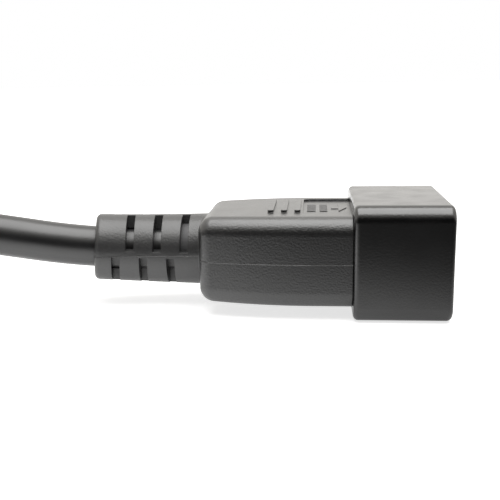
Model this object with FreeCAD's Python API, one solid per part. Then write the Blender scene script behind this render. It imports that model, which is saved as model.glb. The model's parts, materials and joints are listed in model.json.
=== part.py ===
"""C20 power cord plug on a three-core cord, with a C19 connector on the far end.

Millimetres. +X points out of the plug's mouth, +Z up, and the plug lies on z = 0 with its length
centred on x = 0. The cord leaves the back of the plug along -X and is put away in an oval coil,
with the connector lying on it.
"""
import FreeCAD, Part
import math
import os

V = FreeCAD.Vector
X_AXIS, Y_AXIS, Z_AXIS = V(1, 0, 0), V(0, 1, 0), V(0, 0, 1)

# ---------------------------------------------------------------- driving dimensions
# Connector nose and the shroud that it slides into
nose_width = 30.4
nose_height = 20.4
nose_corner_radius = 1.6
nose_length = 19.3
mating_clearance = 0.3
shroud_wall = 2.0
shroud_length = 20.8
shroud_floor = 1.0
shroud_edge_radius = 1.1
mouth_chamfer = 0.5
base_length = 8.0
base_width = 26.0
base_height = 14.6
base_corner_radius = 2.0

# Contacts
pin_width = 8.0
pin_thickness = 2.0
pin_tip_radius = 0.7
pin_pitch = 13.0
earth_offset = 8.0
power_tip_setback = 4.2
earth_tip_setback = 3.2
shank_length = 4.0
shank_width = 4.4
barrel_length = 7.5
barrel_radius = 2.1
contact_slot_clearance = 0.35
contact_lead_in = 2.0
sleeve_wall = 0.7
sleeve_length = 13.0
crimp_closed_end = 1.0
overlap = 1.0

# Cord
cord_diameter = 9.4
core_diameter = 3.6
conductor_diameter = 2.1
core_gap = 0.15

# Soft body of the plug
body_length = 33.5
body_front_width = 32.8
body_rear_width = 27.6
body_front_height = 19.8
body_rear_height = 18.9
body_straight = 9.0
body_corner_radius = 3.8
shoulder_radius = 3.3
body_front_edge_radius = 0.3
jacket_inset = 31.0

# Soft body of the connector
socket_body_length = 30.0
socket_front_width = 34.0
socket_rear_width = 28.0
socket_front_height = 23.0
socket_rear_height = 21.0
socket_straight = 8.0
socket_jacket_inset = 33.8

# Strain relief, on both
relief_length = 25.8
socket_relief_length = 20.0
relief_rear_radius = 7.6
relief_front_radius = 8.33
relief_sections = 6
relief_bend = 14.4
relief_bend_lean = 20.0
relief_end_rounding = 1.2
relief_root_radius = 0.8
bell_mouth = 0.45
bell_length = 12.0
slot_width = 1.85
slot_pitch = 6.6
slot_count = 3
socket_slot_count = 2
slot_stagger = 3.3
first_slot_inset = 4.05
web_half_width = 0.7

# Inner moulding under the soft body
inner_wall_side = 2.4
inner_wall_top = 2.6
inner_corner_radius = 2.5
inner_tail_inset = 4.5
inner_tail_rounding = 2.0
neck_wall = 1.4
jacket_hold = 8.2
socket_jacket_hold = 1.9

# Grip ribs and the sunk panel on the top and the underside
rib_count = 3
rib_pitch = 2.95
rib_width = 1.3
rib_height = 0.5
rib_half_length = 8.0
first_rib_inset = 12.0
panel_length = 10.8
panel_half_width = 10.4
panel_depth = 0.45
panel_corner_radius = 1.0

# Cord route and coil
relief_to_rise = 0.5
rise_start_radius = 60.0
rise_end_radius = 120.0
rise_yaw = 10.0
rise_pitch = 10.5
coil_lead_in = 40.0
coil_inner_radius = 45.2
coil_straight = 28.0
coil_layers = 2
top_turn_end = -40.0
inner_turn_start = -10.0
inner_top_length = 15.0
tie_width = 10.0
tie_thickness = 1.0
tie_squeeze = 0.2

# ---------------------------------------------------------------- sizes that follow
recess_width = nose_width + 2 * mating_clearance
recess_height = nose_height + 2 * mating_clearance
recess_corner_radius = nose_corner_radius + mating_clearance
shroud_width = recess_width + 2 * shroud_wall
shroud_height = recess_height + 2 * shroud_wall
shroud_corner_radius = recess_corner_radius + shroud_wall - mouth_chamfer
bend = math.radians(relief_bend)
relief_bend_radius = relief_length / bend
relief_reach = (
    (relief_bend_radius + relief_rear_radius - relief_end_rounding) * math.sin(bend)
    + relief_end_rounding * (1 - math.cos(bend))
)
plug_length = shroud_length + body_length + relief_reach
shroud_back = plug_length / 2 - shroud_length
axis_height = shroud_height / 2
cord_radius = cord_diameter / 2
coil_outer_radius = coil_inner_radius + cord_diameter
top_turn_height = (coil_layers + 0.5) * cord_diameter
coil_top = (coil_layers + 1) * cord_diameter
socket_axis_height = coil_top + socket_front_height / 2
power_row = -earth_offset / 2
earth_row = earth_offset / 2
POLES = {
    "line": (-pin_pitch / 2, power_row, power_tip_setback),
    "neutral": (pin_pitch / 2, power_row, power_tip_setback),
    "earth": (0.0, earth_row, earth_tip_setback),
}


def heading(yaw, pitch):
    """Unit vector for a cord that runs back along -X, turned towards -Y and then upwards, in degrees."""
    yaw, pitch = math.radians(yaw), math.radians(pitch)
    return V(-math.cos(pitch) * math.cos(yaw), -math.cos(pitch) * math.sin(yaw), math.sin(pitch))


def setback(radius, before, after):
    """How far before its corner an arc of that radius starts."""
    return radius * math.tan(before.getAngle(after) / 2)


# The cord's centreline where it isn't coiled: bent with the strain relief, up onto the coil,
# then from the inner top turn round the coil's end and into the connector.
lean = math.radians(relief_bend_lean)
relief_bend_side = V(0, -math.cos(lean), math.sin(lean))
relief_bend_axis = V(0, math.sin(lean), math.cos(lean))
relief_root = V(shroud_back - body_length, 0, axis_height)
relief_heading = relief_bend_side * math.sin(bend) - X_AXIS * math.cos(bend)
rise_heading = heading(rise_yaw, rise_pitch)
relief_setback = setback(relief_bend_radius, -X_AXIS, relief_heading)
relief_corner = relief_root - X_AXIS * relief_setback
rise_setback = setback(rise_start_radius, relief_heading, rise_heading)
rise_start = relief_corner + relief_heading * (relief_setback + relief_to_rise + rise_setback)
rise_end = rise_start + rise_heading * ((top_turn_height - rise_start.z) / rise_heading.z)
coil_start = rise_end - X_AXIS * coil_lead_in
coil_right_centre = V(coil_start.x, coil_start.y - coil_outer_radius, 0)
coil_left_centre = coil_right_centre - X_AXIS * coil_straight
RUN_POINTS = [
    V(shroud_back - jacket_inset, 0, axis_height),
    relief_corner,
    rise_start,
    rise_end,
    coil_start,
]
RUN_RADII = [relief_bend_radius, rise_start_radius, rise_end_radius]
tail_start = coil_start - X_AXIS * inner_top_length - Y_AXIS * cord_diameter
tail_rise = socket_axis_height - top_turn_height
TAIL_POINTS = [
    tail_start,
    tail_start + V(-26.3, 0, 0.07 * tail_rise),
    tail_start + V(-49.3, -13.3, 0.32 * tail_rise),
    tail_start + V(-62.6, -36.3, 0.54 * tail_rise),
    tail_start + V(-62.6, -62.9, 0.75 * tail_rise),
    tail_start + V(-49.3, -85.9, 0.93 * tail_rise),
    tail_start + V(-23.3, -100.9, tail_rise),
    tail_start + V(6.7, -100.9, tail_rise),
]
TURN_SHARE = 0.45
ROUND_END_SHARE = 0.48


# ---------------------------------------------------------------- shape helpers
def box(x0, x1, y0, y1, z0, z1):
    return Part.makeBox(x1 - x0, y1 - y0, z1 - z0, V(x0, y0, z0))


def cylinder_x(radius, x0, x1, y=0.0, z=0.0):
    return Part.makeCylinder(radius, x1 - x0, V(x0, y, z), X_AXIS)


def rounded_bar(x0, x1, width, height, radius):
    """A bar along X with rounded long edges, centred on the axis."""
    bar = box(x0, x1, -width / 2, width / 2, -height / 2, height / 2)
    long_edges = [e for e in bar.Edges if abs(e.tangentAt(e.FirstParameter).x) > 0.9]
    return bar.makeFillet(radius, long_edges)


def edges_at_x(shape, x, tolerance=1e-4):
    """The edges that lie in the plane at x."""
    return [
        e for e in shape.Edges
        if abs(e.BoundBox.XMin - x) < tolerance and abs(e.BoundBox.XMax - x) < tolerance
    ]


def taper_face(straight, front, rear, length):
    """Closed outline in XY: parallel for a while, then arcs that draw in to the rear size."""
    reach, draw = length - straight, (front - rear) / 2
    radius = (reach**2 + draw**2) / (2 * draw)
    half = math.asin(reach / radius) / 2
    middle = V(-straight - radius * math.sin(half), front / 2 - radius * (1 - math.cos(half)), 0)

    def mirrored(p):
        return V(p.x, -p.y, 0)

    a, b, c = V(0, front / 2, 0), V(-straight, front / 2, 0), V(-length, rear / 2, 0)
    edges = [
        Part.LineSegment(a, b).toShape(),
        Part.Arc(b, middle, c).toShape(),
        Part.LineSegment(c, mirrored(c)).toShape(),
        Part.Arc(mirrored(c), mirrored(middle), mirrored(b)).toShape(),
        Part.LineSegment(mirrored(b), mirrored(a)).toShape(),
        Part.LineSegment(mirrored(a), a).toShape(),
    ]
    return Part.Face(Part.Wire(edges))


def along_relief(shape, root_x, distance, bent):
    """Moves a shape made at the relief's root to that distance along its straight or bent centreline."""
    if bent:
        centre = V(root_x, 0, 0) + relief_bend_side * relief_bend_radius
        shape.rotate(centre, relief_bend_axis, math.degrees(distance / relief_bend_radius))
    else:
        shape.translate(X_AXIS * -distance)
    return shape


def relief_tube(root_x, start, end, start_radius, end_radius, bent):
    """A round bar that follows the relief's centreline and changes its radius evenly."""
    rings = []
    for i in range(relief_sections):
        share = i / (relief_sections - 1)
        radius = start_radius + (end_radius - start_radius) * share
        distance = start + (end - start) * share
        ring = Part.Wire([Part.Circle(V(root_x, 0, 0), X_AXIS, radius).toShape()])
        rings.append(along_relief(ring, root_x, distance, bent))
    return Part.makeLoft(rings, True, False)


def relief_bar(root_x, length, root_depth, bent):
    """The tapered strain relief, rounded at its free end and rooted in the body."""
    bar = relief_tube(root_x, -root_depth, length, relief_front_radius, relief_rear_radius, bent)
    far = max(bar.Faces, key=lambda f: -f.CenterOfMass.x)
    return bar.makeFillet(relief_end_rounding, far.Edges)


def relief_slots(root_x, length, count, bent):
    """Straight-pull slots by quadrant: one pair of quadrants, then the other half a pitch on."""
    tools = []
    out = 2 * relief_front_radius
    for i in range(count):
        for shift, quadrants in ((0, ((-1, -1), (1, 1))), (slot_stagger, ((-1, 1), (1, -1)))):
            distance = length - first_slot_inset - slot_width / 2 - shift - i * slot_pitch
            for side, level in quadrants:
                ys = sorted((side * web_half_width, side * out))
                zs = sorted((level * web_half_width, level * out))
                slot = box(root_x - slot_width / 2, root_x + slot_width / 2, *ys, *zs)
                tools.append(along_relief(slot, root_x, distance, bent))
    return tools


def grip_ribs(surface_z):
    """Rounded-end ribs across the body, standing on the surface."""
    ribs = []
    for i in range(rib_count):
        x = -first_rib_inset - i * rib_pitch
        rib = box(x - rib_width / 2, x + rib_width / 2, -rib_half_length, rib_half_length,
                  surface_z - overlap, surface_z + rib_height)
        upright = [e for e in rib.Edges if abs(e.tangentAt(e.FirstParameter).z) > 0.9]
        ribs.append(rib.makeFillet(rib_width * ROUND_END_SHARE, upright))
    return ribs


def soft_body(length, straight, widths, heights, relief, bent):
    """The soft body with its strain relief, before anything is taken out of it."""
    plan = taper_face(straight, widths[0], widths[1], length)
    side = taper_face(straight, heights[0], heights[1], length)
    side.rotate(V(0, 0, 0), X_AXIS, 90)
    plan.translate(V(0, 0, -heights[0]))
    side.translate(V(0, widths[0], 0))
    block = plan.extrude(Z_AXIS * heights[0] * 2).common(side.extrude(Y_AXIS * -widths[0] * 2))
    corner = [
        e for e in block.Edges
        if abs(e.BoundBox.YMax - e.BoundBox.YMin) < widths[0] / 2
        and abs(e.BoundBox.ZMax - e.BoundBox.ZMin) < heights[0] / 2
    ]
    block = block.makeFillet(body_corner_radius, corner)
    block = block.makeFillet(shoulder_radius, edges_at_x(block, -length))
    block = block.makeFillet(body_front_edge_radius, edges_at_x(block, 0))
    joined = block.fuse(relief_bar(-length, relief, shoulder_radius, bent)).removeSplitter()
    root = [
        e for e in joined.Edges
        if -length - 0.5 < e.BoundBox.XMin and e.BoundBox.XMax < -length + shoulder_radius
        and e.BoundBox.ZMax - e.BoundBox.ZMin > relief_front_radius / 2
        and abs(math.hypot(e.valueAt(e.FirstParameter).y, e.valueAt(e.FirstParameter).z)
                - relief_front_radius) < 0.2
    ]
    return joined.makeFillet(relief_root_radius, root)


def inner_mould_shape(length, widths, heights, neck_end):
    """The rigid moulding that holds the contacts, with a neck round the end of the jacket."""
    rear = -(length - inner_tail_inset)
    wide = widths[1] - 2 * inner_wall_side
    high = heights[1] - 2 * inner_wall_top
    block = rounded_bar(rear, -base_length, wide, high, inner_corner_radius)
    block = block.makeFillet(inner_tail_rounding, edges_at_x(block, rear))
    neck_radius = cord_radius + neck_wall
    neck = cylinder_x(neck_radius, neck_end, rear + inner_corner_radius)
    cone = Part.makeCone(neck_radius, high / 2 - inner_corner_radius / 4, length + rear,
                         V(-length, 0, 0), X_AXIS)
    return block.fuse(neck).fuse(cone).removeSplitter()


def pole_wiring(y, z, barrel_back, jacket_end, place):
    """One core and its conductor, from a crimp barrel to the jacket's cut end."""
    ring_radius = (core_diameter + core_gap) / math.sqrt(3)
    target = V(jacket_end, ring_radius * math.cos(place), ring_radius * math.sin(place))
    start = V(barrel_back, y, z)
    reach = target - start
    past = target + reach * (core_diameter / reach.Length)
    origin = start - reach * (core_diameter / reach.Length)
    wide = pin_pitch + pin_width
    span = box(jacket_end, barrel_back + barrel_length, -wide, wide, -wide, wide)
    core = Part.makeCylinder(core_diameter / 2, (past - origin).Length, origin, reach)
    core = core.common(box(jacket_end, barrel_back, -wide, wide, -wide, wide))
    inside = start + X_AXIS * (barrel_length - crimp_closed_end)
    path = Part.Wire([Part.LineSegment(inside, start).toShape(), Part.LineSegment(start, past).toShape()])
    section = Part.Wire([Part.Circle(inside, X_AXIS, conductor_diameter / 2).toShape()])
    wire = path.makePipeShell([section], True, False, 1).common(span)
    return core.cut(wire), wire


def crimp_barrel(x0, x1, y, z):
    bore = cylinder_x(conductor_diameter / 2, x0, x1 - crimp_closed_end, y, z)
    return cylinder_x(barrel_radius, x0, x1, y, z).cut(bore)


def path_wire(points, radii=()):
    """Straight runs joined by tangent arcs: of the given radii, or each as large as its runs allow."""
    edges, used, last = [], [], points[0]
    for i, (before, corner, after) in enumerate(zip(points, points[1:], points[2:])):
        back, on = before - corner, after - corner
        turn = math.pi - back.getAngle(on)
        run = TURN_SHARE * min(back.Length, on.Length)
        radius = radii[i] if radii else run / math.tan(turn / 2)
        reach = radius * math.tan(turn / 2)
        used.append(radius)
        back.normalize()
        on.normalize()
        enter, leave = corner + back * reach, corner + on * reach
        inward = back + on
        inward.normalize()
        middle = corner + inward * radius * (1 / math.cos(turn / 2) - 1)
        edges.append(Part.LineSegment(last, enter).toShape())
        edges.append(Part.Arc(enter, middle, leave).toShape())
        last = leave
    edges.append(Part.LineSegment(last, points[-1]).toShape())
    return Part.Wire(edges), used


def cord_tube(name, points, radii=()):
    """A round cord along the path; prints its radii and compares its volume with section times length."""
    wire, used = path_wire(points, radii)
    start = Part.Circle(points[0], points[1] - points[0], cord_radius).toShape()
    tube = wire.makePipeShell([Part.Wire([start])], True, False)
    whole = math.pi * cord_radius**2 * wire.Length
    print(name, "length", round(wire.Length, 1), "radii", [round(r) for r in used],
          "volume ratio", round(tube.Volume / whole, 4))
    return tube


# ---------------------------------------------------------------- plug
def build_shroud():
    outer = rounded_bar(0, shroud_length, shroud_width, shroud_height, shroud_corner_radius)
    outer = outer.makeFillet(shroud_edge_radius, edges_at_x(outer, 0) + edges_at_x(outer, shroud_length))
    recess = rounded_bar(shroud_floor, shroud_length, recess_width, recess_height, recess_corner_radius)
    base = rounded_bar(-base_length, shroud_floor, base_width, base_height, base_corner_radius)
    shroud = outer.fuse(base).cut(recess).removeSplitter()
    mouth = [
        e for e in edges_at_x(shroud, shroud_length)
        if e.BoundBox.YMax < recess_width / 2 + 0.01 and e.BoundBox.ZMax < recess_height / 2 + 0.01
    ]
    shroud = shroud.makeChamfer(mouth_chamfer, mouth)
    for y, z, setback in POLES.values():
        shroud = shroud.cut(pin_slot(y, z, -base_length, shroud_floor))
    return shroud


def pin_slot(y, z, x0, x1, grow=0.0):
    """A box as wide and as thick as a pin, or larger by the same on its four sides."""
    half_width, half_thickness = pin_width / 2 + grow, pin_thickness / 2 + grow
    return box(x0, x1, y - half_width, y + half_width, z - half_thickness, z + half_thickness)


def build_pin(y, z, setback):
    tip = shroud_length - setback
    blade = pin_slot(y, z, -base_length, tip)
    blade = blade.makeFillet(pin_tip_radius, edges_at_x(blade, tip))
    shank_end = -base_length - shank_length
    shank = box(shank_end - overlap, -base_length, y - shank_width / 2, y + shank_width / 2,
                z - pin_thickness / 2, z + pin_thickness / 2)
    barrel = crimp_barrel(shank_end - barrel_length, shank_end, y, z)
    bore = cylinder_x(conductor_diameter / 2, shank_end - barrel_length, shank_end - crimp_closed_end, y, z)
    return blade.fuse(shank).fuse(barrel).cut(bore).removeSplitter()


CORE_PLACES = {"line": math.radians(210), "neutral": math.radians(330), "earth": math.radians(90)}


def build_plug():
    """The plug's pieces about its own axis, with x = 0 at the back of the shroud."""
    pieces = {"shroud": build_shroud()}
    widths, heights = (body_front_width, body_rear_width), (body_front_height, body_rear_height)
    neck_end = -jacket_inset - jacket_hold
    inner = inner_mould_shape(body_length, widths, heights, neck_end)
    grip = soft_body(body_length, body_straight, widths, heights, relief_length, True)
    for face in (1, -1):
        surface = face * body_front_height / 2
        for rib in grip_ribs(body_front_height / 2):
            if face < 0:
                rib.rotate(V(0, 0, 0), X_AXIS, 180)
            grip = grip.fuse(rib)
        zs = sorted((surface - face * panel_depth, surface + face))
        panel = box(-panel_length, overlap, -panel_half_width, panel_half_width, *zs)
        corners = [
            e for e in panel.Edges
            if abs(e.tangentAt(e.FirstParameter).z) > 0.9 and e.BoundBox.XMin < -1
        ]
        grip = grip.cut(panel.makeFillet(panel_corner_radius, corners))
    for slot in relief_slots(-body_length, relief_length, slot_count, True):
        grip = grip.cut(slot)
    mouth = relief_tube(-body_length, relief_length - bell_length, relief_length,
                        cord_radius, cord_radius + bell_mouth, True)
    base = rounded_bar(-base_length, 0, base_width, base_height, base_corner_radius)
    grip = grip.cut(inner).cut(base).cut(mouth).removeSplitter()
    barrel_back = -base_length - shank_length - barrel_length
    for pole, (y, z, setback) in POLES.items():
        core, wire = pole_wiring(y, z, barrel_back, -jacket_inset, CORE_PLACES[pole])
        pin = build_pin(y, z, setback).cut(wire)
        pieces["pin_" + pole] = pin
        pieces["core_" + pole] = core
        pieces["conductor_" + pole] = wire
        inner = inner.cut(pin).cut(core).cut(wire)
    pieces["inner_mould"] = inner
    pieces["grip_overmould"] = grip
    return pieces


# ---------------------------------------------------------------- connector
def build_nose():
    nose = rounded_bar(0, nose_length, nose_width, nose_height, nose_corner_radius)
    nose = nose.makeFillet(mouth_chamfer, edges_at_x(nose, nose_length))
    base = rounded_bar(-base_length, overlap, base_width, base_height, base_corner_radius)
    nose = nose.fuse(base)
    pocket_end = nose_length - contact_lead_in
    for y, z, setback in POLES.values():
        nose = nose.cut(pin_slot(y, z, pocket_end, nose_length, contact_slot_clearance))
        nose = nose.cut(pin_slot(y, z, -base_length, pocket_end, sleeve_wall))
    return nose.removeSplitter()


def build_sleeve(y, z):
    front = nose_length - contact_lead_in
    outer = pin_slot(y, z, front - sleeve_length, front, sleeve_wall)
    hollow = pin_slot(y, z, front - sleeve_length, front)
    shank_end = -base_length - shank_length
    web = box(shank_end - overlap, front - sleeve_length + overlap, y - shank_width / 2, y + shank_width / 2,
              z - pin_thickness / 2 - sleeve_wall, z - pin_thickness / 2)
    barrel = crimp_barrel(shank_end - barrel_length, shank_end, y, z)
    bore = cylinder_x(conductor_diameter / 2, shank_end - barrel_length, shank_end - crimp_closed_end, y, z)
    return outer.cut(hollow).fuse(web).fuse(barrel).cut(bore).removeSplitter()


def build_connector():
    """The connector's pieces about its own axis, with x = 0 at the front of its soft body."""
    pieces = {"connector_nose": build_nose()}
    widths, heights = (socket_front_width, socket_rear_width), (socket_front_height, socket_rear_height)
    neck_end = -socket_jacket_inset - socket_jacket_hold
    inner = inner_mould_shape(socket_body_length, widths, heights, neck_end)
    grip = soft_body(socket_body_length, socket_straight, widths, heights, socket_relief_length, False)
    for slot in relief_slots(-socket_body_length, socket_relief_length, socket_slot_count, False):
        grip = grip.cut(slot)
    base = rounded_bar(-base_length, 0, base_width, base_height, base_corner_radius)
    grip = grip.cut(inner).cut(base).removeSplitter()
    barrel_back = -base_length - shank_length - barrel_length
    for pole, (y, z, setback) in POLES.items():
        core, wire = pole_wiring(y, z, barrel_back, -socket_jacket_inset, CORE_PLACES[pole])
        sleeve = build_sleeve(y, z).cut(wire)
        pieces["connector_contact_" + pole] = sleeve
        pieces["connector_core_" + pole] = core
        pieces["connector_conductor_" + pole] = wire
        inner = inner.cut(sleeve).cut(core).cut(wire)
    pieces["connector_inner_mould"] = inner
    pieces["connector_overmould"] = grip
    return pieces


# ---------------------------------------------------------------- coil
def column_face(inner, outer, bottom, top, round_bottom):
    """Section of stacked turns in XZ, at its distance from the coil's centre."""
    r = cord_radius
    c = math.cos(math.pi / 4)
    points = []
    if round_bottom:
        low = [(inner, bottom + r), (inner + r * (1 - c), bottom + r * (1 - c)), (inner + r, bottom)]
        high = [(outer - r, bottom), (outer - r * (1 - c), bottom + r * (1 - c)), (outer, bottom + r)]
        edges = [("arc", low), ("line", (low[2], high[0])), ("arc", high)]
    else:
        edges = [("line", ((inner, bottom), (outer, bottom)))]
    first = edges[0][1][0]
    last = edges[-1][1][-1]
    right = [(outer, top - r), (outer - r * (1 - c), top - r * (1 - c)), (outer - r, top)]
    left = [(inner + r, top), (inner + r * (1 - c), top - r * (1 - c)), (inner, top - r)]
    edges += [("line", (last, right[0])), ("arc", right)]
    if outer - inner > 2 * r + 0.01:
        edges.append(("line", (right[2], left[0])))
    edges += [("arc", left), ("line", (left[2], first))]
    shapes = []
    for kind, marks in edges:
        points = [V(a, 0, b) for a, b in marks]
        shapes.append((Part.Arc(*points) if kind == "arc" else Part.LineSegment(*points)).toShape())
    return Part.Face(Part.Wire(shapes))


def turned(face, centre, start, sweep):
    """The section swept round a centre, from one angle through another."""
    part = face.copy()
    part.rotate(V(0, 0, 0), Z_AXIS, start)
    part.translate(centre)
    return part.revolve(centre, Z_AXIS, sweep)


def straight(face, side, x0, x1):
    """The section along one of the coil's straight sides, from x0 to x1."""
    part = face.copy()
    part.rotate(V(0, 0, 0), Z_AXIS, 90 * side)
    part.translate(V(x0, coil_right_centre.y, 0))
    return part.extrude(V(x1 - x0, 0, 0))


def build_coil():
    left, right = coil_left_centre, coil_right_centre
    r_in, r_out = coil_inner_radius - cord_radius, coil_outer_radius + cord_radius
    middle = (r_in + r_out) / 2
    two_high = coil_layers * cord_diameter
    ring = column_face(r_in, r_out, 0, two_high, True)
    top = column_face(middle, r_out, two_high - cord_radius, coil_top, False)
    inner_top = column_face(r_in, middle, two_high - cord_radius, coil_top, False)
    pieces = [
        turned(ring, right, -90, 180), turned(ring, left, 90, 180),
        straight(ring, 1, left.x, right.x), straight(ring, -1, left.x, right.x),
        straight(top, 1, left.x, right.x), turned(top, left, 90, 180),
        straight(top, -1, left.x, right.x), turned(top, right, -90, top_turn_end + 90),
        turned(inner_top, right, inner_turn_start, 90 - inner_turn_start),
        straight(inner_top, 1, right.x - inner_top_length, right.x),
    ]
    coil = pieces[0]
    for piece in pieces[1:]:
        coil = coil.fuse(piece)
    return coil.removeSplitter()


def build_tie(coil):
    """A flat strap pulled tight round the bundle of turns, flush with the floor below."""
    t = tie_thickness
    r_in = coil_inner_radius - cord_radius + tie_squeeze
    r_out = coil_outer_radius + cord_radius - tie_squeeze
    band = box(r_in - t, r_out + t, -tie_width / 2, tie_width / 2, 0, coil_top + t)
    long_edges = [e for e in band.Edges if abs(e.tangentAt(e.FirstParameter).y) > 0.9]
    band = band.makeFillet(cord_radius, long_edges)
    hole = box(r_in, r_out, -tie_width, tie_width, t, coil_top)
    long_edges = [e for e in hole.Edges if abs(e.tangentAt(e.FirstParameter).y) > 0.9]
    band = band.cut(hole.makeFillet(cord_radius - t, long_edges))
    band.rotate(V(0, 0, 0), Z_AXIS, 90)
    band.translate(coil_right_centre - X_AXIS * inner_top_length / 2)
    return band


# ---------------------------------------------------------------- write everything
def main():
    os.makedirs("parts", exist_ok=True)
    nodes = {}
    for name, shape in build_plug().items():
        shape.translate(V(shroud_back, 0, axis_height))
        nodes[name] = shape
    socket_front = TAIL_POINTS[-1] + X_AXIS * socket_jacket_inset
    for name, shape in build_connector().items():
        shape.translate(socket_front)
        nodes[name] = shape
    run = cord_tube("cord_run", RUN_POINTS, RUN_RADII)
    tail = cord_tube("cord_tail", TAIL_POINTS)
    coil = build_coil()
    tie = build_tie(coil)
    for name in ("grip_overmould", "inner_mould"):
        nodes[name] = nodes[name].cut(run)
    for name in ("connector_overmould", "connector_inner_mould"):
        nodes[name] = nodes[name].cut(tail)
    nodes["cord_run"] = run.cut(coil)
    nodes["cord_tail"] = tail.cut(coil)
    nodes["cord_coil"] = coil.cut(tie)
    nodes["coil_tie"] = tie
    for name, shape in nodes.items():
        solids = shape.Solids
        print(f"{name:26s} solids {len(solids)} valid {shape.isValid()} volume {shape.Volume:9.1f}")
        body = solids[0] if len(solids) == 1 else shape
        body.exportStep("parts/" + name + ".step")


main()
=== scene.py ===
# %% [markdown]
# # A C20 power plug and its cord
# The plug's solids come from a CAD model that is already packed, so its shapes and sizes are fixed.
# This lesson gives them a camera, a real cord, light and finishes. The plug lies on z = 0 and its
# mouth looks along +X. Blender works in metres here. The plug's own sizes are easier to read in
# millimetres, so they are written in those and multiplied by MM.

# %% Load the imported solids
import json
import math
import bmesh
import bpy
from mathutils import Matrix, Vector

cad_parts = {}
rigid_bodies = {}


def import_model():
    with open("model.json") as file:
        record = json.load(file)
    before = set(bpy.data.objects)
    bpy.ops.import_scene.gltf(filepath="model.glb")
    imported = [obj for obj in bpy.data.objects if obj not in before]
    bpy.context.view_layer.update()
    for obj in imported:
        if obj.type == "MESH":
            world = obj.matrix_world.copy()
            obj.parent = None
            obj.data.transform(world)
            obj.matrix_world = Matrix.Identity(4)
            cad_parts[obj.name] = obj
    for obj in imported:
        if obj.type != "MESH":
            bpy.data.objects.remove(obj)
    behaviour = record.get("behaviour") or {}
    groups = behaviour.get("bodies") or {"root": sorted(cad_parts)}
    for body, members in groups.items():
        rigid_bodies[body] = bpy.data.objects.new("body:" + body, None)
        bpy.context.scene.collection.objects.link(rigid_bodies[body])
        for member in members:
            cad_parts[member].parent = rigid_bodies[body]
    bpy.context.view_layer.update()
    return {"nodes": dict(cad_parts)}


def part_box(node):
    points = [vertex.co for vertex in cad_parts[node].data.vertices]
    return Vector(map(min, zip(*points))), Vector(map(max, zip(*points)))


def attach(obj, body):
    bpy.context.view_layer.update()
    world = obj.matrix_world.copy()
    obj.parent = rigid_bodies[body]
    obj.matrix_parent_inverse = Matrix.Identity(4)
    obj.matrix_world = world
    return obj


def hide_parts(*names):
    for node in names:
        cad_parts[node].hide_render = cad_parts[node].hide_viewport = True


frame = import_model()
nodes = frame["nodes"]
MM = 0.001

# %% [markdown]
# ## Camera
# A product view from a little above the plug's side. A camera's own axes are right, up and back, so
# its rotation is those three directions written as the columns of a matrix. That is clearer than
# three Euler angles when the picture is also tilted by a degree. The camera looks at a point in the
# soft body, which is given from the back of the shroud.

# %% Camera
AZIMUTH, ELEVATION, TILT = math.radians(5.03), math.radians(12.85), math.radians(-0.99)
DISTANCE = 175.19
SHROUD_LENGTH = 20.8
AIM_BEHIND_SHROUD, AIM_HEIGHT = 23.24, 12.1

shroud_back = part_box("shroud")[1].x / MM - SHROUD_LENGTH
aim = Vector((shroud_back - AIM_BEHIND_SHROUD, 0, AIM_HEIGHT)) * MM
back = Vector((math.sin(AZIMUTH) * math.cos(ELEVATION),
               -math.cos(AZIMUTH) * math.cos(ELEVATION), math.sin(ELEVATION)))
right = Vector((math.cos(AZIMUTH), math.sin(AZIMUTH), 0))
up = back.cross(right)
tilted_right = right * math.cos(TILT) + up * math.sin(TILT)
tilted_up = up * math.cos(TILT) - right * math.sin(TILT)
camera = bpy.data.objects.new("camera", bpy.data.cameras.new("camera"))
camera.data.lens = 54
camera.data.sensor_width = 36
camera.data.clip_start = 0.01
turn = Matrix((tilted_right, tilted_up, back)).transposed().to_4x4()
camera.matrix_world = Matrix.Translation(aim + back * DISTANCE * MM) @ turn
bpy.context.scene.collection.objects.link(camera)
bpy.context.scene.camera = camera
print("camera at", [round(v / MM, 1) for v in camera.location], "mm")

# %% [markdown]
# ## Small helpers
# Colours are written as the familiar sRGB hex values, while shaders work with linear light, so one
# function converts them. Another adds a shader node with its settings and links in one line.

# %% Helpers for colour and nodes
def linear(hex_colour):
    """The linear RGBA of an sRGB colour that is written as #rrggbb."""
    parts = [int(hex_colour[i:i + 2], 16) / 255 for i in (1, 3, 5)]
    return tuple(c / 12.92 if c <= 0.04045 else ((c + 0.055) / 1.055) ** 2.4
                 for c in parts) + (1.0,)


def add(tree, kind, settings=(), links=()):
    """A node of that kind; settings are properties or input values, links are input: output."""
    node = tree.nodes.new(kind)
    for name, value in dict(settings).items():
        if isinstance(name, str) and hasattr(node, name):
            setattr(node, name, value)
        else:
            node.inputs[name].default_value = value
    for name, socket in dict(links).items():
        tree.links.new(socket, node.inputs[name])
    return node


def finish(name, colour, roughness, **sockets):
    """A material with one Principled shader; returns it, its tree and the shader."""
    material = bpy.data.materials.new(name)
    material.use_nodes = True
    shader = material.node_tree.nodes["Principled BSDF"]
    shader.inputs["Base Color"].default_value = linear(colour)
    shader.inputs["Roughness"].default_value = roughness
    for socket, value in sockets.items():
        shader.inputs[socket.replace("_", " ")].default_value = value
    material.diffuse_color = linear(colour)
    return material, material.node_tree, shader


print("mid grey in linear light:", round(linear("#808080")[0], 3))

# %% [markdown]
# ## The cord
# A heavy three-core cord, 9.4 mm thick and about 1.8 m long. It is springy, so it only bends in
# wide curves. It leaves the strain relief, which it bends a little with it, climbs onto its own
# coil and ends in a connector that lies on the coil. It could be a swept mesh, but a NURBS curve
# with a round bevel is the natural tool: a few control points give one smooth line, and the bevel
# keeps one thickness all along it. Here are the two ends that aren't coiled, in millimetres.

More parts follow.
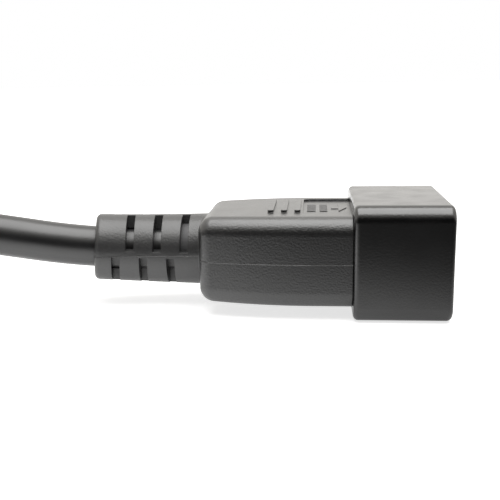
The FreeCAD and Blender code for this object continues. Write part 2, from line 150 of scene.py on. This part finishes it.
# %% The ends of the cord that aren't coiled
CORD_THICKNESS = 9.4
run = [(-11.07, 0, 12.5), (-26.54, 0, 12.5), (-42.95, -3.96, 13.94), (-59.61, -6.9, 17.08),
       (-93.74, -12.92, 23.5)]
tail = [(-148.74, -22.32, 23.5), (-175.04, -22.32, 24.63), (-198.04, -35.62, 29.6),
        (-211.34, -58.62, 33.0), (-211.34, -85.22, 35.9), (-198.04, -108.22, 38.57),
        (-172.04, -123.22, 39.7), (-142.04, -123.22, 39.7)]
print("points of the two ends:", len(run), "and", len(tail))

# %% [markdown]
# The coil is an oval of two columns, three turns high. The cord winds down the outer column, steps
# in at the bottom and climbs the inner one. The turns change level on the right-hand end only, so
# the straights stay flat, and the outer ones begin to do so 50 degrees later than the inner ones.
# A curve of order three touches the middle of each side of its control polygon, so the points of a
# half turn stand a little outside the circle that the cord follows. Angles are in degrees, with the
# front of the coil at -90 and its rear at 90.

# %% The coil's turns
LEVELS = [CORD_THICKNESS * (i + 0.5) for i in range(3)]
OUTER, INNER = 54.6, 45.2
RIGHT_END, LEFT_END = Vector((-133.74, -67.52, 0)), Vector((-161.74, -67.52, 0))
HALF_TURN_POINTS = 12
FRONT, REAR = -90, 90
LATE_CHANGE = -40


def half_turn(centre, start, radius, level, next_level=None, flat_until=FRONT):
    """Control points round one end of the oval; past an angle the level changes evenly."""
    points = []
    for i in range(HALF_TURN_POINTS):
        degrees = start + 180 * (i + 0.5) / HALF_TURN_POINTS
        angle = math.radians(degrees)
        reach = radius / math.cos(math.pi / HALF_TURN_POINTS / 2)
        share = min(max((degrees - flat_until) / (REAR - flat_until), 0), 1)
        z = level if next_level is None else level + (next_level - level) * share
        points.append(centre + Vector((math.cos(angle) * reach, math.sin(angle) * reach, z)))
    return points


def lap(radius, level, next_level, flat_until=FRONT):
    """One turn: round the left end, then round the right end, where it changes its level."""
    return (half_turn(LEFT_END, REAR, radius, level)
            + half_turn(RIGHT_END, FRONT, radius, level, next_level, flat_until))


low, middle, high = LEVELS
step_in = Vector((0, (OUTER - INNER) / 2, 0))
coil = lap(OUTER, high, middle, LATE_CHANGE) + lap(OUTER, middle, low, LATE_CHANGE)
coil += half_turn(LEFT_END + step_in, REAR, OUTER - step_in.y, low)
coil += half_turn(RIGHT_END, FRONT, INNER, low, middle) + lap(INNER, middle, high)
route = [Vector(p) for p in run] + coil + [Vector(p) for p in tail]
print("coil points:", len(coil), "all:", len(route))

# %% [markdown]
# The bevel depth is one metre here and each point's radius scales it down to the cord's own radius.
# The product is the same, and the curve's bounding box, which grows by the point radius, stays
# true. The order is set after the points are there: set before, it stays at two, which gives
# straight runs.

# %% Make the cord
line = bpy.data.curves.new("power_cord", "CURVE")
line.dimensions = "3D"
line.bevel_depth = 1.0
line.bevel_resolution = 10
line.use_fill_caps = True
spline = line.splines.new("NURBS")
spline.points.add(len(route) - 1)
for point, place in zip(spline.points, route):
    point.co = (*(place * MM), 1)
    point.radius = CORD_THICKNESS / 2 * MM
spline.order_u = 3
spline.use_endpoint_u = True
spline.resolution_u = 6
cord = bpy.data.objects.new("power_cord", line)
bpy.context.scene.collection.objects.link(cord)
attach(cord, "root")
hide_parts("cord_run", "cord_coil", "cord_tail")
print("control polygon:", round(sum((b - a).length for a, b in zip(route, route[1:]))), "mm")

# %% [markdown]
# ## Studio
# A pale floor, a wide lamp overhead, a weak one behind and a plain pale room. The side of the
# studio behind the camera is unlit, as in a real one: black plastic is almost a mirror, and it only
# looks black where it mirrors something dark. So the room and the floor fade towards the front, for
# everything but the camera, which sees plain white. The fade is one short chain of nodes that both
# of them use.

# %% A fade towards the front
def front_fade(tree, vector, direction, dark_at, light_at, least):
    """From least to 1 along a direction; the camera isn't affected and always gets 1."""
    along = add(tree, "ShaderNodeVectorMath", {"operation": "DOT_PRODUCT", 1: direction},
                {0: vector})
    fade = add(tree, "ShaderNodeMapRange",
               {"interpolation_type": "SMOOTHSTEP", "From Min": dark_at, "From Max": light_at,
                "To Min": least, "To Max": 1.0}, {"Value": along.outputs["Value"]})
    path = add(tree, "ShaderNodeLightPath")
    return add(tree, "ShaderNodeMath", {"operation": "MAXIMUM"},
               {0: fade.outputs[0], 1: path.outputs["Is Camera Ray"]})


def seen_by_eye_or_mirror(tree):
    """1 for the camera and for rays that gloss or glass send on, else 0."""
    path = add(tree, "ShaderNodeLightPath")
    seen = add(tree, "ShaderNodeMath", {"operation": "MAXIMUM"},
               {0: path.outputs["Is Camera Ray"], 1: path.outputs["Is Glossy Ray"]})
    return add(tree, "ShaderNodeMath", {"operation": "MAXIMUM"},
               {0: seen.outputs[0], 1: path.outputs["Is Transmission Ray"]})


print("studio helpers:", front_fade.__name__, seen_by_eye_or_mirror.__name__)

# %% [markdown]
# The floor is white paper. It keeps the plug's soft shadow, and further out it glows as white as
# the room, so that no horizon shows. Its sizes are in metres.

# %% Floor
HALF_WIDTH = 6
GLOW_RISES_AT, GLOW_FULL_AT = 0.3, 0.9
GLOW_AT_PLUG = 0.72

mesh = bpy.data.meshes.new("floor")
sheet = bmesh.new()
bmesh.ops.create_grid(sheet, x_segments=1, y_segments=1, size=HALF_WIDTH)
sheet.to_mesh(mesh)
sheet.free()
floor = bpy.data.objects.new("floor", mesh)
bpy.context.scene.collection.objects.link(floor)
paper, tree, shader = finish("white_paper", "#f4f4f4", 0.9)
place = add(tree, "ShaderNodeTexCoord").outputs["Object"]
away = add(tree, "ShaderNodeVectorMath", {"operation": "LENGTH"}, {0: place})
glow = add(tree, "ShaderNodeMapRange",
           {"From Min": GLOW_RISES_AT, "From Max": GLOW_FULL_AT,
            "To Min": GLOW_AT_PLUG, "To Max": 1.0}, {"Value": away.outputs["Value"]})
glow = add(tree, "ShaderNodeMath", {"operation": "MULTIPLY"},
           {0: glow.outputs[0], 1: seen_by_eye_or_mirror(tree).outputs[0]})
fade = front_fade(tree, place, direction=(-0.6, 1, 0), dark_at=-0.118, light_at=0.03, least=0.02)
glow = add(tree, "ShaderNodeMath", {"operation": "MULTIPLY"},
           {0: glow.outputs[0], 1: fade.outputs[0]})
white = add(tree, "ShaderNodeMix",
            {"data_type": "RGBA", 6: linear("#000000"), 7: linear("#f4f4f4")},
            {0: fade.outputs[0]})
tree.links.new(white.outputs[2], shader.inputs["Base Color"])
shader.inputs["Emission Color"].default_value = linear("#ffffff")
tree.links.new(glow.outputs[0], shader.inputs["Emission Strength"])
mesh.materials.append(paper)
print("floor reaches", max(v.co.x for v in mesh.vertices), "m")

# %% [markdown]
# The room is white for the eye and for mirrors, and dimmer and a little warm as a light, so that
# the lamp does the modelling.

# %% World
ROOM_LIGHT = 0.35

world = bpy.data.worlds.new("studio")
bpy.context.scene.world = world
world.use_nodes = True
world.cycles.sampling_method = "NONE"
tree = world.node_tree
tree.nodes.clear()
look = add(tree, "ShaderNodeTexCoord").outputs["Generated"]
fade = front_fade(tree, look, direction=(0, 0.707, 0.707), dark_at=-0.3, light_at=0.25,
                  least=0.015)
strength = add(tree, "ShaderNodeMapRange", {"To Min": ROOM_LIGHT, "To Max": 1.0},
               {"Value": seen_by_eye_or_mirror(tree).outputs[0]})
strength = add(tree, "ShaderNodeMath", {"operation": "MULTIPLY"},
               {0: strength.outputs[0], 1: fade.outputs[0]})
path = add(tree, "ShaderNodeLightPath")
tint = add(tree, "ShaderNodeMix",
           {"data_type": "RGBA", 6: linear("#fffcf6"), 7: linear("#ffffff")},
           {0: path.outputs["Is Camera Ray"]})
sky = add(tree, "ShaderNodeBackground",
          links={"Color": tint.outputs[2], "Strength": strength.outputs[0]})
add(tree, "ShaderNodeOutputWorld", links={"Surface": sky.outputs[0]})
print("room light:", ROOM_LIGHT)

# %% [markdown]
# A softbox is a square lamp behind white cloth. How bright its cloth looks is easier to judge than
# watts, so the lamp is given that number, where 1 is white, and works out its power from its area.

# %% Lamps
def softbox(name, place, size, radiance):
    """A square area lamp, in metres, that looks at the plug."""
    light = bpy.data.lights.new(name, "AREA")
    light.size, light.energy = size, radiance * math.pi * size ** 2
    held = bpy.data.objects.new(name, light)
    held.location = place
    held.rotation_euler = (-Vector(place)).to_track_quat("-Z", "Y").to_euler()
    bpy.context.scene.collection.objects.link(held)


softbox("overhead_softbox", place=(0.0, -0.06, 0.95), size=1.0, radiance=3.3)
softbox("rear_softbox", place=(0.0, 1.1, 0.45), size=0.8, radiance=0.3)
bpy.context.scene.view_settings.view_transform = "Standard"

# %% [markdown]
# ## Parting ridge
# The soft body is moulded between two halves, and where they meet a thin ridge of plastic stays, at
# half height, along both sides and the strain relief. It could be drawn by hand, but the body's own
# skin already has the right line: a copy of its mesh is cut to a strip between two planes, each
# face that doesn't look well outwards is dropped, and the rest is given a thickness outwards.

# %% A strip of a body's own skin
RIDGE_HEIGHT, RIDGE_WIDTH = 0.11, 0.26
LEAST_OUTWARD = 0.5


def skin_strip(node):
    """A thin strip of a node's outer skin at the middle of its height, raised a little."""
    strip = bmesh.new()
    strip.from_mesh(nodes[node].data)
    bmesh.ops.remove_doubles(strip, verts=strip.verts, dist=1e-6)
    lowest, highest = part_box(node)
    centre = (lowest + highest) / 2
    for side in (1, -1):
        bmesh.ops.bisect_plane(strip, geom=strip.verts[:] + strip.edges[:] + strip.faces[:],
                               dist=1e-7, plane_no=(0, 0, side), clear_outer=True,
                               plane_co=(0, 0, centre.z + side * RIDGE_WIDTH / 2 * MM))
    inner = []
    for face in strip.faces:
        sideways = face.calc_center_median().y - centre.y
        if face.normal.y * sideways < LEAST_OUTWARD * abs(sideways):
            inner.append(face)
    bmesh.ops.delete(strip, geom=inner, context="FACES")
    bmesh.ops.solidify(strip, geom=strip.faces[:], thickness=-RIDGE_HEIGHT * MM)
    bmesh.ops.recalc_face_normals(strip, faces=strip.faces)
    return strip


def add_piece(name, shape, material):
    """Turns a bmesh into a piece that rides on the part and takes that slot and material."""
    mesh = bpy.data.meshes.new(name)
    shape.to_mesh(mesh)
    shape.free()
    piece = bpy.data.objects.new(name, mesh)
    bpy.context.scene.collection.objects.link(piece)
    mesh.materials.append(material)
    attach(piece, "root")
    print(name, "faces:", len(mesh.polygons))


print("ridge:", RIDGE_WIDTH, "mm wide and", RIDGE_HEIGHT, "mm high")

# %% [markdown]
# ## Finishes
# Each solid gets the material of its real piece. A moulding is never one flat colour: the mould
# leaves a grain that breaks up the edge of each reflection, and handling leaves patches of slightly
# different gloss. Both could be painted on, but noise in the shader follows the shape from every
# side. It reads Object coordinates in metres, so a size in millimetres is 1 / (size * MM) as a
# noise scale. Noise rarely leaves the range from 0.3 to 0.7, so the patches stretch that range.

# %% Grain and patches
WAVE_LENGTH = 9
NOISE_LOW, NOISE_HIGH = 0.3, 0.7


def grain(tree, shader, size_mm, height_mm, edge_mm=0.0, wave_mm=0.0):
    """A bump of noise with cells of that size, on edges that look rounded or on low waves."""
    where = add(tree, "ShaderNodeTexCoord").outputs["Object"]
    noise = add(tree, "ShaderNodeTexNoise", {"Scale": 1 / (size_mm * MM), "Detail": 2.0},
                {"Vector": where})
    bump = add(tree, "ShaderNodeBump", {"Distance": height_mm * MM}, {"Height": noise.outputs[0]})
    if wave_mm:
        wave = add(tree, "ShaderNodeTexNoise", {"Scale": 1 / (WAVE_LENGTH * MM), "Detail": 1.0},
                   {"Vector": where})
        uneven = add(tree, "ShaderNodeBump", {"Distance": wave_mm * MM},
                     {"Height": wave.outputs[0]})
        tree.links.new(uneven.outputs[0], bump.inputs["Normal"])
    if edge_mm:
        soft_edge = add(tree, "ShaderNodeBevel", {"samples": 6, "Radius": edge_mm * MM})
        tree.links.new(soft_edge.outputs[0], bump.inputs["Normal"])
    tree.links.new(bump.outputs[0], shader.inputs["Normal"])


def patches(tree, size_mm, low, high):
    """Soft patches of that size, as a number that wanders from low to high."""
    where = add(tree, "ShaderNodeTexCoord").outputs["Object"]
    noise = add(tree, "ShaderNodeTexNoise", {"Scale": 1 / (size_mm * MM), "Detail": 1.0},
                {"Vector": where})
    return add(tree, "ShaderNodeMapRange",
               {"From Min": NOISE_LOW, "From Max": NOISE_HIGH, "To Min": low, "To Max": high},
               {"Value": noise.outputs[0]}).outputs[0]


print("finish helpers:", grain.__name__, patches.__name__)

# %% [markdown]
# The plug's body and the connector's are soft PVC, moulded round the wires in a spark-eroded mould.
# The eye sees a half-gloss black with a pebbled grain. A mould's grain is a tenth or two of a
# millimetre across, and it is drawn at 0.4 mm, coarser than the real one, so that it shows. PVC's
# IOR is about 1.53. That alone looks too dull on the upper faces, so a light coat is matched to the
# shine of the real one. The strain relief is duller than the body, and the change begins 33 mm
# behind the shroud, just before the body ends.

# %% Moulded black PVC
DULLER_FROM, DULLER_FULL = 33.0, 34.5
DULLER_BY = 0.14

soft_pvc, tree, shader = finish("moulded_black_pvc", "#151516", 0.36, IOR=1.53,
                                Specular_IOR_Level=1.0, Coat_Weight=0.3, Coat_Roughness=0.2)
grain(tree, shader, size_mm=0.4, height_mm=0.08, edge_mm=0.25)
along = add(tree, "ShaderNodeSeparateXYZ",
            links={0: add(tree, "ShaderNodeTexCoord").outputs["Object"]})
duller = add(tree, "ShaderNodeMapRange",
             {"From Min": (shroud_back - DULLER_FROM) * MM,
              "From Max": (shroud_back - DULLER_FULL) * MM,
              "To Min": 0.0, "To Max": DULLER_BY}, {"Value": along.outputs["X"]})
gloss = add(tree, "ShaderNodeMath", {"operation": "ADD"},
            {0: patches(tree, size_mm=7, low=0.34, high=0.38), 1: duller.outputs[0]})
tree.links.new(gloss.outputs[0], shader.inputs["Roughness"])
print("body:", soft_pvc.name)

# %% [markdown]
# The cord's jacket is the same plastic, but pulled through a round die instead of moulded. The die
# leaves a smooth skin, and long shallow waves show where the twisted wires press from inside. The
# waves are 9 mm long, about one thickness of the cord, and the fine grain is drawn coarser than
# real.

# %% Extruded black PVC
jacket, tree, shader = finish("extruded_black_pvc", "#19191a", 0.36, IOR=1.53,
                              Specular_IOR_Level=0.9)
grain(tree, shader, size_mm=0.4, height_mm=0.006, wave_mm=0.12)
tree.links.new(patches(tree, size_mm=12, low=0.33, high=0.39), shader.inputs["Roughness"])
print("jacket:", jacket.name)

# %% [markdown]
# The shroud and the connector's nose are stiff nylon from a polished mould: a deeper black than
# PVC, with calmer and sharper reflections. Only a faint grain stays, again drawn at 0.4 mm, which
# is coarser than real, and the gloss varies a little over patches of 5 mm, as it does on most
# mouldings.

# %% Moulded black nylon
hard_plastic, tree, shader = finish("moulded_black_nylon", "#0c0c0d", 0.22, IOR=1.53,
                                    Specular_IOR_Level=1.0)
grain(tree, shader, size_mm=0.4, height_mm=0.025, edge_mm=0.4)
tree.links.new(patches(tree, size_mm=5, low=0.19, high=0.25), shader.inputs["Roughness"])
print("shroud:", hard_plastic.name)

# %% [markdown]
# An inner block holds the pins and wires while the body is moulded round them. It is taken to be
# grey polypropylene, a dull plastic with a fine even grain, drawn coarser than real.

# %% Grey polypropylene
inner_plastic, tree, shader = finish("grey_polypropylene", "#5f5f60", 0.5)
grain(tree, shader, size_mm=0.4, height_mm=0.004)
print("inner mould:", inner_plastic.name)

# %% [markdown]
# The pins and the connector's contacts are brass with nickel plate. Nickel is a slightly warm white
# metal, and here it is satin: its roughness wanders in patches of 2 mm. The wires are bare copper
# strand, which browns in patches with air.

# %% Metals
nickel, tree, shader = finish("nickel_plated_brass", "#cfcac0", 0.25, Metallic=1.0)
grain(tree, shader, size_mm=0.5, height_mm=0.001, edge_mm=0.1)
tree.links.new(patches(tree, size_mm=2, low=0.2, high=0.32), shader.inputs["Roughness"])
copper, tree, shader = finish("bare_copper", "#d98a66", 0.3, Metallic=1.0)
grain(tree, shader, size_mm=0.3, height_mm=0.01)
browned = add(tree, "ShaderNodeMix",
              {"data_type": "RGBA", 6: linear("#d98a66"), 7: linear("#b06a4c")},
              {0: patches(tree, size_mm=1, low=0.0, high=1.0)})
tree.links.new(browned.outputs[2], shader.inputs["Base Color"])
print("metals:", nickel.name, copper.name)

# %% [markdown]
# Each wire has its own coat of PVC, extruded like the jacket and left dull: black for line, white
# for neutral and green for earth, which is the common American code.

# %% Wire insulation
cores = {}
for pole, dye, colour in (("line", "black", "#202020"), ("neutral", "white", "#e4e2da"),
                          ("earth", "green", "#2f8a3c")):
    cores[pole], tree, shader = finish(dye + "_core_insulation", colour, 0.45)
    grain(tree, shader, size_mm=0.5, height_mm=0.004)
print("insulation:", [m.name for m in cores.values()])

# %% [markdown]
# The strap round the coil is nylon hook-and-loop tape. Its outside is a pile of fine loops, so it
# drinks light and shows a soft sheen at the edges. The loops are a few tenths of a millimetre
# across and are drawn at 0.6 mm, coarser than real, as a bump and as a colour between two blacks.

# %% Hook-and-loop tape
strap, tree, shader = finish("hook_and_loop_strap", "#1c1c1e", 0.9, Sheen_Weight=0.3)
grain(tree, shader, size_mm=0.6, height_mm=0.25)
pile = add(tree, "ShaderNodeMix",
           {"data_type": "RGBA", 6: linear("#121214"), 7: linear("#29292c")},
           {0: patches(tree, size_mm=0.9, low=0.0, high=1.0)})
tree.links.new(pile.outputs[2], shader.inputs["Base Color"])
print("strap:", strap.name)

# %% [markdown]
# A solid from the frame keeps its shape and only changes its finish: the new material goes into the
# slots of its object. The cord is a new piece, so its jacket is simply added to it.

# %% Dress the solids and the cord
finishes = {
    "shroud": hard_plastic, "connector_nose": hard_plastic,
    "grip_overmould": soft_pvc, "connector_overmould": soft_pvc,
    "inner_mould": inner_plastic, "connector_inner_mould": inner_plastic, "coil_tie": strap,
}
for pole, insulation in cores.items():
    finishes["pin_" + pole] = nickel
    finishes["connector_contact_" + pole] = nickel
    for end in ("", "connector_"):
        finishes[end + "core_" + pole] = insulation
        finishes[end + "conductor_" + pole] = copper
for name, material in finishes.items():
    for holder in nodes[name].material_slots:
        holder.material = material
line.materials.append(jacket)
print("dressed:", len(finishes), "solids and the cord")

# %% [markdown]
# Now that the PVC is there, both moulded bodies get their ridge in the same plastic, because on the
# real thing it is one piece with the body.

# %% Put the ridges on
for node, name in (("grip_overmould", "parting_ridge"),
                   ("connector_overmould", "connector_parting_ridge")):
    add_piece(name, skin_strip(node), soft_pvc)

# %% [markdown]
# ## Marks in the sunk panel
# Real plugs carry raised marks here. These say nothing: two rows of plain bars, and an arrow that
# points the way the plug goes in. They stand on the floor of the panel, with as much again sunk
# into it, and their places along the plug are given from the back of the shroud. A bar is a cube
# that is scaled, and the arrow is one flat face that is extruded. One bevel softens all their
# edges.

# %% Bars and arrow
BODY_HEIGHT, PANEL_DEPTH = 19.8, 0.45
MARK_HEIGHT, MARK_EDGE = 0.16, 0.06
BARS_IN_ROW, BAR_WIDTH, BAR_STEP, FIRST_BAR = 8, 0.6, 1.2, -4.2
ROWS = ((-8.95, 1.9), (-6.25, 1.7))
ARROW = ((-4.5, -1.2), (-2.9, -1.2), (-2.9, -4.6), (-1.0, 0), (-2.9, 4.6), (-2.9, 1.2),
         (-4.5, 1.2))

axis_height = (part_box("shroud")[0].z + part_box("shroud")[1].z) / 2 / MM
panel_z = axis_height + BODY_HEIGHT / 2 - PANEL_DEPTH
marks = bmesh.new()
for x, length in ROWS:
    size = Matrix.Diagonal((length * MM, BAR_WIDTH * MM, 2 * MARK_HEIGHT * MM, 1))
    for i in range(BARS_IN_ROW):
        centre = Vector((shroud_back + x, FIRST_BAR + BAR_STEP * i, panel_z))
        bmesh.ops.create_cube(marks, size=1, matrix=Matrix.Translation(centre * MM) @ size)
corners = [marks.verts.new(Vector((shroud_back + x, y, panel_z - MARK_HEIGHT)) * MM)
           for x, y in ARROW]
raised = bmesh.ops.extrude_face_region(marks, geom=[marks.faces.new(corners)])["geom"]
bmesh.ops.translate(marks, verts=[v for v in raised if isinstance(v, bmesh.types.BMVert)],
                    vec=(0, 0, 2 * MARK_HEIGHT * MM))
bmesh.ops.recalc_face_normals(marks, faces=marks.faces)
bmesh.ops.bevel(marks, geom=marks.edges[:], offset=MARK_EDGE * MM, offset_type="OFFSET",
                segments=2, profile=0.5, affect="EDGES", material=-1)
add_piece("panel_marks", marks, soft_pvc)
